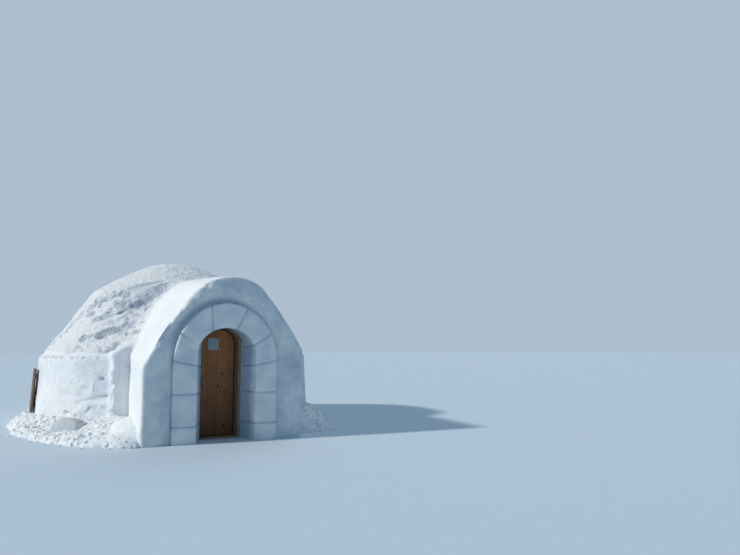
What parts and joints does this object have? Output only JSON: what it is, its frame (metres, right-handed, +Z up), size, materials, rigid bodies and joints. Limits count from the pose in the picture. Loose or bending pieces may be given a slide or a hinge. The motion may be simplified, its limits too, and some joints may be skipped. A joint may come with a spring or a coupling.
{
  "type": "igloo",
  "caption": "Round snow dome with a short arched porch, a ring of cut snow blocks round the doorway and a plank door hinged in a timber lining.",
  "frame": {"origin": "on the ground, under the middle of the whole object's box", "axes": "+Z up, -Y out of the door front, +X to the right of someone who faces the door"},
  "size_m": [6.5, 7.1498, 3.3853],
  "materials": {
    "snow": "matt packed snow",
    "loose_snow": "crusted loose snow",
    "lining_timber": "unpainted planed softwood",
    "door_boards": "knotty oiled pine boards",
    "ironwork": "black forged iron",
    "weathered_board": "weathered softwood"
  },
  "bodies": {
    "root": {"right_front_wall": "snow", "right_rear_wall": "snow", "rear_wall": "snow", "left_rear_wall": "snow", "left_front_wall": "snow", "right_front_roof": "snow", "right_rear_roof": "snow", "rear_roof": "snow", "left_rear_roof": "snow", "left_front_roof": "snow", "roof_cap": "snow", "left_porch_wall": "snow", "right_porch_wall": "snow", "porch_vault": "snow", "right_buttress": "snow", "left_buttress": "snow", "right_block_1": "snow", "right_block_2": "snow", "right_block_3": "snow", "right_block_4": "snow", "right_block_5": "snow", "left_block_1": "snow", "left_block_2": "snow", "left_block_3": "snow", "left_block_4": "snow", "left_block_5": "snow", "crown_block": "snow", "right_bank": "loose_snow", "rear_bank": "loose_snow", "left_bank": "loose_snow", "fallen_slab": "loose_snow", "left_door_post": "lining_timber", "right_door_post": "lining_timber", "door_head": "lining_timber", "door_threshold": "lining_timber", "lower_pintle": "ironwork", "upper_pintle": "ironwork", "side_board": "weathered_board"},
    "door": {"door_leaf": "door_boards", "lower_ledge": "door_boards", "middle_ledge": "door_boards", "upper_ledge": "door_boards", "lower_strap_hinge": "ironwork", "upper_strap_hinge": "ironwork", "door_handle": "ironwork"}
  },
  "joints": [
    {"name": "door_hinge", "type": "hinge", "parent": "root", "child": "door", "pos_m": [0.34, -2.822, 0.88], "axis": [0, 0, -1], "range_deg": [0, 100]}
  ]
}
